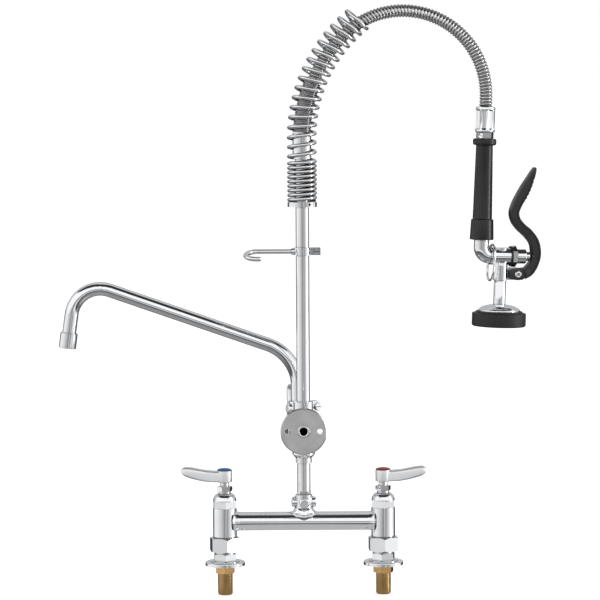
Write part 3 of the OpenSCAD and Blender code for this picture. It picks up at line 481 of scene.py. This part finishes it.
def hose_at(s):
    """Point and angle from the vertical at a distance along the hose, from the foot of its bend."""
    first = BEND_R * math.radians(BEND_A)
    arch = ARCH_R * math.radians(ARCH_A)
    if s <= first:
        a = s / BEND_R
        return Vector((BEND_R * (1 - math.cos(a)), 0, BEND_Z + BEND_R * math.sin(a))), a
    a0 = math.radians(BEND_A)
    p = Vector((BEND_R * (1 - math.cos(a0)), 0, BEND_Z + BEND_R * math.sin(a0)))
    s = min(s - first, arch + TAIL)
    a = a0 + min(s, arch) / ARCH_R
    p = p + Vector((ARCH_R * (math.cos(a0) - math.cos(a)), 0, ARCH_R * (math.sin(a) - math.sin(a0))))
    if s > arch:
        p = p + Vector((math.sin(a), 0, math.cos(a))) * (s - arch)
    return p, a


def tube_ring(s, radius_at, sides):
    p, a = hose_at(s)
    out = Vector((math.cos(a), 0, -math.sin(a)))
    ring = []
    for k in range(sides):
        turn_share = k / sides
        f = 2 * math.pi * turn_share
        r = radius_at(s, turn_share)
        ring.append(p + (out * math.cos(f) + Vector((0, 1, 0)) * math.sin(f)) * r)
    return ring


def make_hose():
    pitch = 4.15
    depth = 1.25
    start = BEND_R * math.radians(SLEEVE_FROM)
    end = BEND_R * math.radians(BEND_A) + ARCH_R * math.radians(ARCH_A) + TAIL
    count = int((end - start) / (pitch / 12))

    def radius(s, share):
        u = (s / pitch - share) % 1.0
        dip = 0.5 - 0.5 * math.cos(2 * math.pi * u)
        return HOSE_R - depth * (dip ** 1.6)

    rings = [tube_ring(start + (end - start) * i / count, radius, 44) for i in range(count + 1)]
    Shape().loft(rings).add("hose_corrugated", "overhead", "stainless_hose", ["hose"], sharp=60)


def make_sleeve():
    pitch = 2.8
    start = BEND_R * math.radians(SLEEVE_FROM)
    end = BEND_R * math.radians(SLEEVE_TO)
    count = int((end - start) / (pitch / 10))

    def radius(s, share):
        along = (s - start) / (end - start)
        crest = 11.75 - 0.75 * along
        lip = min(s - start, end - s)
        u = (s / pitch) % 1.0
        dip = (0.5 - 0.5 * math.cos(2 * math.pi * u)) ** 1.5
        return crest - (0.95 * dip if lip > 1.2 else 0.0) - 0.6 * max(0, 0.6 - lip)

    rings = [tube_ring(start + (end - start) * i / count, radius, 56) for i in range(count + 1)]
    inner = [tube_ring(end - 0.2, lambda s, share: HOSE_R + 0.05, 56)]
    Shape().loft(rings + inner, caps=False).add(
        "hose_sleeve_ribbed", "overhead", "chrome", ["hose_sleeve"], sharp=60,
        look=chrome_look("sleeve_look", 0.08, 0.15, (0.48, 0.48, 0.50)))


WIRE_R = 2.45
COIL_R = 16.55
COLLAR_TOP = 466.5
FOOT_Z = COLLAR_TOP + WIRE_R + 0.15
# Turns wound close, turns wound open, and the ground first part that lies flat on the collar
CLOSED, OPEN = 9, 17
GROUND = 0.5
CLOSED_PITCH = 5.75
COIL_BEND_Z, COIL_BEND_R, COIL_END_A = 548.6, 190.0, 52.0


def make_spring():
    closed_len = (CLOSED - GROUND) * CLOSED_PITCH
    rise = COIL_BEND_Z - FOOT_Z
    open_len = rise - closed_len + COIL_BEND_R * math.radians(COIL_END_A)
    open_pitch = open_len / OPEN

    def axis_at(turns):
        s = max(0, min(turns, CLOSED) - GROUND) * CLOSED_PITCH + max(0, turns - CLOSED) * open_pitch
        if s <= rise:
            return Vector((0, 0, FOOT_Z + s)), 0.0
        a = (s - rise) / COIL_BEND_R
        return Vector((COIL_BEND_R * (1 - math.cos(a)), 0, COIL_BEND_Z + COIL_BEND_R * math.sin(a))), a

    def wire_at(turns):
        p, a = axis_at(turns)
        f = 2 * math.pi * turns
        out = Vector((math.cos(a), 0, -math.sin(a))) * math.cos(f) + Vector((0, 1, 0)) * math.sin(f)
        return p + out * COIL_R, out

    steps, sides = 40, 16
    total = (CLOSED + OPEN) * steps
    # Two more rings at each end round the wire off
    end_size, end_step = (1, 0.93, 0.72), (0, 0.28, 0.45)
    rings = []
    for i in range(-2, total + 3):
        t = min(max(i, 0), total) / steps
        p, out = wire_at(t)
        ahead, behind = wire_at(t + 0.01)[0], wire_at(t - 0.01)[0]
        along = (ahead - behind).normalized()
        up = along.cross(out).normalized()
        over = max(-i, i - total, 0)
        thin = 0.55 + 0.45 * min(1, t / GROUND)
        r = WIRE_R * end_size[over] * thin
        p = p - Vector((0, 0, WIRE_R * (1 - thin)))
        p = p + along * end_step[over] * (1 if i > 0 else -1)
        rings.append([p + (out * math.cos(2 * math.pi * k / sides)
                           + up * math.sin(2 * math.pi * k / sides)) * r for k in range(sides)])
    Shape().loft(rings).add("spring_wire", "overhead", "spring_steel", ["overhead_spring"], sharp=50)


make_hose()
make_sleeve()
make_spring()


# ---------- Hose end: crimped ferrule ----------

def make_ferrule():
    """Ferrule with eight crimp flats between plain rims."""
    full = 12.4
    sides, flats = 96, 8
    # Height, how far the rim is drawn in, and how far the crimp has set in
    rows = [(157.4, 0.9, 0), (157.7, 0.3, 0), (158.4, 0, 0), (160.4, 0, 0), (161.6, 0, 0.5),
            (162.6, 0, 1), (184.4, 0, 1), (185.4, 0, 0.5), (186.4, 0, 0), (188.3, 0, 0),
            (189.2, 0.45, 0), (189.6, 1.1, 0), (189.7, 2.0, 0), (189.5, 3.9, 0)]
    rings = []
    for z, pull, crimp in rows:
        ring = []
        for k in range(sides):
            f = 2 * math.pi * k / sides
            off = (f * flats / (2 * math.pi)) % 1.0 - 0.5
            flat = math.cos(math.pi / flats) / math.cos(off * 2 * math.pi / flats)
            ridge = 1.0 if abs(off) > 0.40 else 0.0
            r = full * (1 - crimp * (1 - flat) * 1.15) - crimp * 0.55 * (1 - ridge) - pull
            ring.append((r * math.cos(f), r * math.sin(f), z))
        rings.append(ring)
    Shape(SPRAY).loft(rings).add("ferrule_crimped", "overhead", "chrome", ["hose_ferrule"], sharp=30)


make_ferrule()


# ---------- Grip, bumper and spray head ----------

def make_grip():
    profile = rounded([
        (8.2, 149.2, 0), (11.2, 149.4, 1.0), (14.9, 149.2, 3.4), (14.9, 141.3, 3.6),
        (10.7, 140.6, 0.7), (12.35, 47.4, 0.5), (14.2, 46.6, 1.3), (15.2, 21.0, 0.9),
        (13.0, 20.6, 0.5), (9.75, 20.8, 0)], 6)
    Shape(SPRAY).lathe(profile, 96).add("grip_moulded", "spray_valve", "grip_rubber", ["grip"], sharp=40)


# The spray tube stands this far along the valve from the grip's axis
OUTLET = SPRAY @ shift(26, 0, 0)


def make_spray_head():
    dome = [(26.7 * math.cos(t), -69.6 + 8.1 * math.sin(t))
            for t in [math.radians(3 + 70 * i / 18) for i in range(19)]]
    profile = ([(20, -71.9), (26.2, -71.9), (26.7, -71.4), (26.7, -69.6)] + dome
               + [(7.75, -61.8), (7.75, -32.0), (7.4, -31.2), (5.0, -31.05)])
    Shape(OUTLET).lathe(profile, 96).add(
        "spray_head_domed", "spray_valve", "chrome", ["spray_head"], sharp=30)


def make_bumper():
    profile = rounded([
        (25.1, -72.0, 0), (26.8, -71.9, 0.3), (26.8, -70.3, 0.3), (30.0, -70.3, 0.9), (30.0, -72.4, 0.5),
        (34.5, -72.6, 1.2), (34.5, -88.2, 1.0), (33.3, -89.5, 0.6), (28.5, -89.5, 0.6),
        (25.05, -85.5, 0.5), (25.05, -77, 0)], 5)
    Shape(OUTLET).lathe(profile + [profile[0]], 120).add(
        "bumper_moulded", "spray_valve", "black_rubber", ["bumper"], sharp=40)


make_grip()
make_spray_head()
make_bumper()


# ---------- Lever handles and index caps ----------

# Top line, underside and half width of a forged handle, against the distance from its hub
HANDLE_TOP = [(0, 121.6), (10, 121.8), (22, 122.8), (30, 124.2), (39, 126.0), (45, 127.0), (50, 127.4),
              (56, 127.4)]
HANDLE_FOOT = [(0, 107.8), (10, 107.7), (22, 108.2), (33, 110.0), (42, 112.2), (49, 114.4), (56, 117.2)]
HANDLE_HALF = [(0, 8.7), (10, 8.3), (20, 7.6), (32, 7.2), (44, 7.2), (56, 6.8)]


TIP_FROM, TIP_LONG = 48, 8


def handle_rings(sides=40):
    """Sections from the hub to a round tip, squarer near the hub."""
    rings = []
    stations = [i * 2.0 for i in range(25)]
    stations += [TIP_FROM + TIP_LONG * math.sin(math.radians(90 * i / 16)) for i in range(17)]
    for x in stations:
        end = 1.0
        if x > TIP_FROM:
            end = math.sqrt(max(0.0, 1 - ((x - TIP_FROM) / (TIP_LONG + 0.02)) ** 2))
        top, foot = between(HANDLE_TOP, x), between(HANDLE_FOOT, x)
        half = between(HANDLE_HALF, x)
        mid = (top + foot) / 2
        tall = (top - foot) / 2
        power = 2 / (6.5 - 2.6 * min(1, max(0, (x - 12) / 34)))
        wide = half * (0.35 + 0.65 * end) * (end > 0)
        ring = []
        for k in range(sides):
            f = 2 * math.pi * (k + 0.5) / sides
            c, s = math.cos(f), math.sin(f)
            draft = 0.9 - 0.13 * s
            ring.append((x, math.copysign(abs(c) ** power, c) * wide * draft,
                         mid + math.copysign(abs(s) ** power, s) * tall * end))
        rings.append(ring)
    return rings


HANDLE_LOOK = chrome_look("handle_look", 0.34, 0.44, (0.92, 0.93, 0.94))


def make_handle(name, body, node, place):
    shape = Shape(place)
    shape.loft(handle_rings())
    hub = rounded([(5.8, HUB_Z, 0), (HUB_R, HUB_Z, 0.7), (HUB_R, HUB_TOP, 0.8), (7.9, HUB_TOP, 0.2),
                   (7.9, HUB_TOP - 2, 0)], 5)
    shape.lathe(hub, 72)
    shape.add(name, body, "chrome", [node], sharp=35, look=HANDLE_LOOK)


def make_cap(name, body, node, slot, place):
    r = HUB_R - 0.25
    dome = [(r * math.cos(t), HUB_TOP + 0.35 + 2.6 * math.sin(t))
            for t in [math.radians(90 * i / 16) for i in range(17)]]
    profile = [(7.6, HUB_TOP - 1), (7.6, HUB_TOP + 0.02), (r - 0.2, HUB_TOP + 0.04), (r, HUB_TOP + 0.2)]
    Shape(place).lathe(profile + dome, 72).add(name, body, slot, [node], sharp=35)


cold = shift(leg_x("cold"), 0, 0) @ turn("Z", 180)
hot = shift(leg_x("hot"), 0, 0)
make_handle("cold_handle_forged", "cold_handle", "cold_lever", cold)
make_handle("hot_handle_forged", "hot_handle", "hot_lever", hot)
make_handle("spout_handle_forged", "spout_handle", "spout_lever", SPOUT_VALVE)
make_cap("cold_cap_domed", "cold_handle", "cold_index_cap", "blue_cap", cold)
make_cap("hot_cap_domed", "hot_handle", "hot_index_cap", "red_cap", hot)
make_cap("spout_cap_domed", "spout_handle", "spout_index_cap", "plain_cap", SPOUT_VALVE)


# ---------- Squeeze lever ----------

# Middle line of the lever beside the valve: distance along the valve, height, thickness
SPINE = [
    (54, -23, 13), (62.5, -18.5, 12.5), (69.3, -8.5, 11), (71.8, 4, 11.2),
    (69, 18.5, 11), (60.5, 29.5, 11.5), (51, 37.5, 11), (44, 46, 10.6),
    (41.6, 56, 10.6), (45, 67, 11.2), (51, 78, 12.4), (57, 89.5, 11.5),
    (62.3, 101, 8), (67.6, 114, 3)]


def spine_at(u):
    """Smooth curve through the spine's points, u counting them."""
    i = min(int(u), len(SPINE) - 2)
    t = u - i
    a, b = Vector(SPINE[max(i - 1, 0)]), Vector(SPINE[i])
    c, d = Vector(SPINE[i + 1]), Vector(SPINE[min(i + 2, len(SPINE) - 1)])
    return 0.5 * (2 * b + (c - a) * t + (2 * a - 5 * b + 4 * c - d) * t * t
                  + (3 * b - 3 * c + d - a) * t ** 3)


def make_squeeze_lever():
    """Moulded hand lever: rims along both edges of its sides, a sunk web between them, and thumb ribs."""
    last = len(SPINE) - 1
    first = 0.22
    shape = Shape(SPRAY)
    count = 260
    ribs_from, ribs_to, rib_pitch = 9.25, 12.2, 0.42
    rings = []
    for i in range(count + 1):
        u = first + (last - first) * i / count
        here = spine_at(u if u < last else last - 0.01)
        ahead = spine_at(min(u + 0.01, last))
        way = Vector((ahead.x - here.x, ahead.y - here.y)).normalized()
        side = Vector((way.y, -way.x))
        p = spine_at(u)
        close = 1.0
        if u > last - 0.5:
            close = math.sqrt(max(0.0, 1 - ((u - last + 0.5) / 0.502) ** 2))
        thick = p.z
        half = thick / 2 * (0.3 + 0.7 * close)
        wide = 8.0 * (1 - 0.12 * min(1, max(0, (u - 9) / 4))) * (0.45 + 0.55 * close)
        sink = 1.5 * min(1, max(0, (u - 0.5) / 0.5)) * min(1, max(0, (12.6 - u) / 1.0))
        rim = min(2.1, thick * 0.24)
        rib = 0.0
        if ribs_from < u < ribs_to:
            phase = (u - ribs_from) / rib_pitch % 1.0
            rib = 0.85 * (1 - phase) ** 1.5 * min(1, (u - ribs_from) * 4, (ribs_to - u) * 4)
        outer, inner = half - rib, -half
        edge = 0.8 * close + 0.15
        section = []
        for y in (1, -1):
            section.append([
                (outer, y * (wide - edge)), (outer - edge * 0.3, y * (wide - edge * 0.3)),
                (outer - edge, y * wide), (half - rim, y * wide), (half - rim - 0.35, y * (wide - sink)),
                (-half + rim + 0.35, y * (wide - sink)), (-half + rim, y * wide), (inner + edge, y * wide),
                (inner + edge * 0.3, y * (wide - edge * 0.3)), (inner, y * (wide - edge))])
        loop = section[0] + section[1][::-1]
        rings.append([(p.x + side.x * n, y, p.y + side.y * n) for n, y in loop])
    shape.loft(rings)
    cheek = rounded([(46, -30.2, 0), (53, -29.8, 6), (62, -24.5, 5), (64, -16, 3), (60, -14.4, 5),
                     (40.5, -15.9, 2.5), (35.8, -17.4, 1.6), (35.8, -28.3, 2.4), (46, -30.2, 0)], 4)[:-1]
    shape.plate(cheek, 3.9, 8.0)
    shape.plate(cheek, -8.0, -3.9)
    shape.add("squeeze_lever_moulded", "trigger", "lever_plastic", ["squeeze_lever"], sharp=38)


def make_pivot_screw():
    """Pan-headed pivot screw with a round recess in its head."""
    low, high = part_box("pivot_screw")
    centre = SPRAY.inverted() @ ((low + high) / 2 / MM)
    reach = (high.y - low.y) / 2 / MM * 0.985
    place = SPRAY @ shift(centre.x, centre.y, centre.z) @ turn("X", 90)
    shape = Shape(place)
    head = rounded([(0.0, reach - 1.3, 0), (1.0, reach - 1.3, 0), (1.6, reach - 0.1, 0.1),
                    (3.4, reach - 0.25, 0.6), (4.4, reach - 1.4, 0.4), (4.4, reach - 2.0, 0.1),
                    (2.4, reach - 2.1, 0.1),
                    (2.4, -reach + 2.1, 0.1), (4.4, -reach + 2.0, 0.1), (4.4, -reach + 1.2, 0.5),
                    (3.2, -reach, 0.4), (0.0, -reach, 0)], 5)
    shape.lathe(head[::-1], 48)
    shape.add("pivot_screw_headed", "spray_valve", "chrome", ["pivot_screw"], sharp=30)


def make_tube_lip():
    """Rolled lip where the bracket tube ends in the wall flange."""
    low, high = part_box("bracket_tube")
    middle = (low + high) / 2 / MM
    place = shift(0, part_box("wall_flange")[0].y / MM, middle.z) @ turn("X", 90)
    lip_r, half_wide, half_tall, sides = 6.1, 1.25, 0.7, 16
    lip = [(lip_r + half_wide * math.cos(2 * math.pi * k / sides),
            0.1 + half_tall * math.sin(2 * math.pi * k / sides)) for k in range(sides + 1)]
    Shape(place).lathe(lip, 64).add("bracket_tube_lip", "base", "chrome", sharp=60)


def make_tee_fillet():
    """Cast fillet where the bridge's middle outlet grows out of the bridge tube."""
    axis_z, tube_r, top, sides, steps = 56.7, 12.05, 74.0, 72, 12
    rings = []
    for i in range(steps + 1):
        u = i / steps
        ring = []
        for k in range(sides):
            a = 2 * math.pi * k / sides
            c, d = math.cos(a), math.sin(a)
            foot_y = tube_r * 0.985 * d
            foot_z = axis_z + math.sqrt(tube_r ** 2 - foot_y ** 2) - 0.12
            start = Vector((12.0 * c, 9.5 * d, top))
            knee = Vector((13.6 * c, 14.4 * d, 67.5 + 1.2 * c * c))
            foot = Vector((18.5 * c, foot_y, foot_z))
            ring.append(start * (1 - u) ** 2 + knee * 2 * u * (1 - u) + foot * u ** 2)
        rings.append(ring)
    Shape().loft(rings[::-1], caps=False).add("tee_fillet", "base", "chrome", sharp=50)


make_squeeze_lever()
make_pivot_screw()
make_tee_fillet()
make_tube_lip()


# ---------- Frame nodes that stay ----------

# Nodes with one of these words in their names are turned or cast round and get smooth shading
ROUND_PARTS = ("bonnet", "flange", "riser", "clamp", "screw", "collar", "coupling", "spout_tube",
               "aerator_shell", "hook_rod", "elbow", "body", "ring", "nut")


def bore_shaded_look():
    """Chrome with painted shade: its bore along the bracket tube is painted near black inside."""
    m = chrome_look("bore_shaded_look", 0.03, 0.09, PLATE_TONE)
    kit = Nodes(m.node_tree)
    shader = m.node_tree.nodes["Principled BSDF"]
    low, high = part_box("bracket_tube")
    axis = ((low + high) / 2).z
    parts = kit.add("ShaderNodeSeparateXYZ", {
        "Vector": kit.add("ShaderNodeTexCoord").outputs["Object"]}).outputs
    across = kit.add("ShaderNodeCombineXYZ", {"X": parts["X"], "Z": kit.math("SUBTRACT", parts["Z"], axis)})
    off = kit.add("ShaderNodeVectorMath", {0: across.outputs[0]}, operation="LENGTH").outputs["Value"]
    wall, clamp_face = 0.0015, -0.010
    bore = (high.z - low.z) / 2 - wall
    ahead = kit.math("LESS_THAN", parts["Y"], clamp_face)
    # Painted shade: mask of the bore's inside, ahead of the clamp face, painted near black
    bore_shade_mask = kit.math("MULTIPLY", kit.math("LESS_THAN", off, bore), ahead)
    plain = shader.inputs["Base Color"].links[0].from_socket
    join(kit, shader, Base_Color=kit.mix(bore_shade_mask, plain, 0.004))
    return m


BORE_SHADED = bore_shaded_look()
THREADED = brass_look("threaded_look", 0.62)
OWN_LOOKS = {"bracket_tube": BORE_SHADED, "bracket_clamp": BORE_SHADED, "cold_shank": THREADED, "hot_shank": THREADED}


def finish_node(node, part):
    """Gives a frame node its look and, on round parts, smooth shading between its edges."""
    for i, m in enumerate(part.data.materials):
        part.data.materials[i] = OWN_LOOKS.get(node) or looks[m.name]
    if not any(word in node for word in ROUND_PARTS):
        return
    mesh = part.data
    if mesh.has_custom_normals:
        scene.view_layers[0].objects.active = part
        with bpy.context.temp_override(object=part, active_object=part):
            bpy.ops.mesh.customdata_custom_splitnormals_clear()
    for p in mesh.polygons:
        p.use_smooth = True
    weld = part.modifiers.new("weld", "WELD")
    weld.merge_threshold = 0.00002
    split = part.modifiers.new("split", "EDGE_SPLIT")
    split.split_angle = math.radians(30)
    even = part.modifiers.new("even", "WEIGHTED_NORMAL")
    even.keep_sharp = True


for node, part in nodes.items():
    if not part.hide_render:
        finish_node(node, part)


# ---------- Floor, world and lights ----------

def add_floor():
    """Pale floor; mirrors see only a small grey patch of it under the faucet."""
    size = 30.0
    z = cad_box[0].z - 0.0002
    mesh = bpy.data.meshes.new("floor")
    mesh.from_pydata([(-size, -size, z), (size, -size, z), (size, size, z), (-size, size, z)], [],
                     [(0, 1, 2, 3)])
    m, kit, shader, at = new_look("floor_look")
    cloud = kit.noise(at, 3, 2)
    join(kit, shader, Base_Color=kit.ramp(cloud, [(0.3, 0.83), (0.7, 0.85)]))
    shader.inputs["Roughness"].default_value = 0.9
    shader.inputs["Emission Color"].default_value = (1, 1, 1, 1)
    shader.inputs["Emission Strength"].default_value = 0.62
    lit = kit.add("ShaderNodeVectorMath", {0: at}, operation="LENGTH").outputs["Value"]
    patch = kit.add("ShaderNodeEmission", {"Color": tone(0.5)}).outputs[0]
    clear = kit.add("ShaderNodeBsdfTransparent").outputs[0]
    fade = kit.span(lit, 0.13, 0.17, 0, 1)
    table = kit.add("ShaderNodeMixShader", {0: fade, 1: patch, 2: clear}).outputs[0]
    glossy = kit.add("ShaderNodeLightPath").outputs["Is Glossy Ray"]
    both = kit.add("ShaderNodeMixShader", {0: glossy, 1: shader.outputs[0], 2: table})
    out = [n for n in m.node_tree.nodes if n.type == "OUTPUT_MATERIAL"][0]
    m.node_tree.links.new(both.outputs[0], out.inputs["Surface"])
    mesh.materials.append(m)
    floor = bpy.data.objects.new("floor", mesh)
    scene.collection.objects.link(floor)


def add_world():
    """Studio: white boxes in front and at the sides, dark flags, a dark ceiling, a grey floor."""
    world = bpy.data.worlds.new("studio")
    scene.world = world
    world.use_nodes = True
    tree = world.node_tree
    tree.nodes.clear()
    kit = Nodes(tree)
    way = kit.add("ShaderNodeTexCoord").outputs["Generated"]
    parts = kit.add("ShaderNodeSeparateXYZ", {"Vector": way}).outputs
    turn_about = kit.math("ARCTAN2", parts["X"], kit.math("MULTIPLY", parts["Y"], -1))
    share = kit.math("ADD", kit.math("MULTIPLY", turn_about, 0.5 / math.pi), 0.5)

    def at(degrees):
        return 0.5 + degrees / 360

    height = kit.math("ADD", kit.math("MULTIPLY", parts["Z"], 0.5), 0.5)
    eye_row = kit.ramp(share, [
        (at(-180), 0.35), (at(-165), 0.05), (at(-133), 0.05), (at(-126), 0.40), (at(-118), 0.80),
        (at(-100), 0.88), (at(-74), 0.82), (at(-52), 0.71), (at(-33), 0.58), (at(-14), 0.42),
        (at(-5), 0.28), (at(5), 0.25), (at(10), 0.50), (at(15), 0.54), (at(20), 0.30),
        (at(25), 0.29), (at(33), 0.41), (at(52), 0.69), (at(63), 0.86), (at(90), 0.93),
        (at(110), 0.96), (at(119), 0.60), (at(127), 0.04), (at(168), 0.04), (at(180), 0.35)])
    front = kit.ramp(height, [
        (0.0, 0.30), (0.2, 0.18), (0.27, 0.08), (0.315, 0.09), (0.34, 0.70), (0.40, 0.92),
        (0.80, 1.0),
        (0.83, 0.80), (0.845, 0.04), (0.985, 0.03), (1.0, 0.30)])
    rear = kit.ramp(height, [
        (0.0, 0.30), (0.2, 0.14), (0.44, 0.12), (0.50, 0.30), (0.58, 0.48), (0.85, 0.46), (0.95, 0.58),
        (1.0, 0.58)])
    off_centre = kit.math("ABSOLUTE", turn_about)
    round_body = kit.mix(kit.span(off_centre, math.radians(85), math.radians(120), 0, 1), front, rear)
    row = kit.math("MULTIPLY", kit.span(parts["Z"], -0.23, -0.18, 0, 1),
                   kit.span(parts["Z"], 0.02, 0.06, 1, 0))
    seen = kit.mix(row, round_body, eye_row)
    back = kit.add("ShaderNodeBackground", {"Color": seen, "Strength": 1.1})
    plain = kit.add("ShaderNodeBackground", {"Color": tone(1.0), "Strength": 1.0})
    camera_ray = kit.add("ShaderNodeLightPath").outputs["Is Camera Ray"]
    both = kit.add("ShaderNodeMixShader", {0: camera_ray})
    tree.links.new(back.outputs[0], both.inputs[1])
    tree.links.new(plain.outputs[0], both.inputs[2])
    out = kit.add("ShaderNodeOutputWorld")
    tree.links.new(both.outputs[0], out.inputs["Surface"])


def add_area(name, place, aim, size, power, in_gloss=False):
    """Area light; in_gloss says whether mirrors see it."""
    light = bpy.data.lights.new(name, "AREA")
    light.shape = "RECTANGLE"
    light.size, light.size_y = size
    light.energy = power
    holder = bpy.data.objects.new(name, light)
    scene.collection.objects.link(holder)
    way = Vector(aim) - Vector(place)
    holder.matrix_world = Matrix.Translation(place) @ way.to_track_quat("-Z", "Y").to_matrix().to_4x4()
    holder.visible_glossy = in_gloss


add_floor()
add_world()
add_area("soft_top", (0.4, -0.6, 3.2), (0, 0, 0.3), (2.4, 2.4), 45)
add_area("strip_side", (1.70, -0.22, 0.42), (0.20, 0, 0.40), (0.18, 1.5), 6, in_gloss=True)
scene.view_settings.view_transform = "Standard"
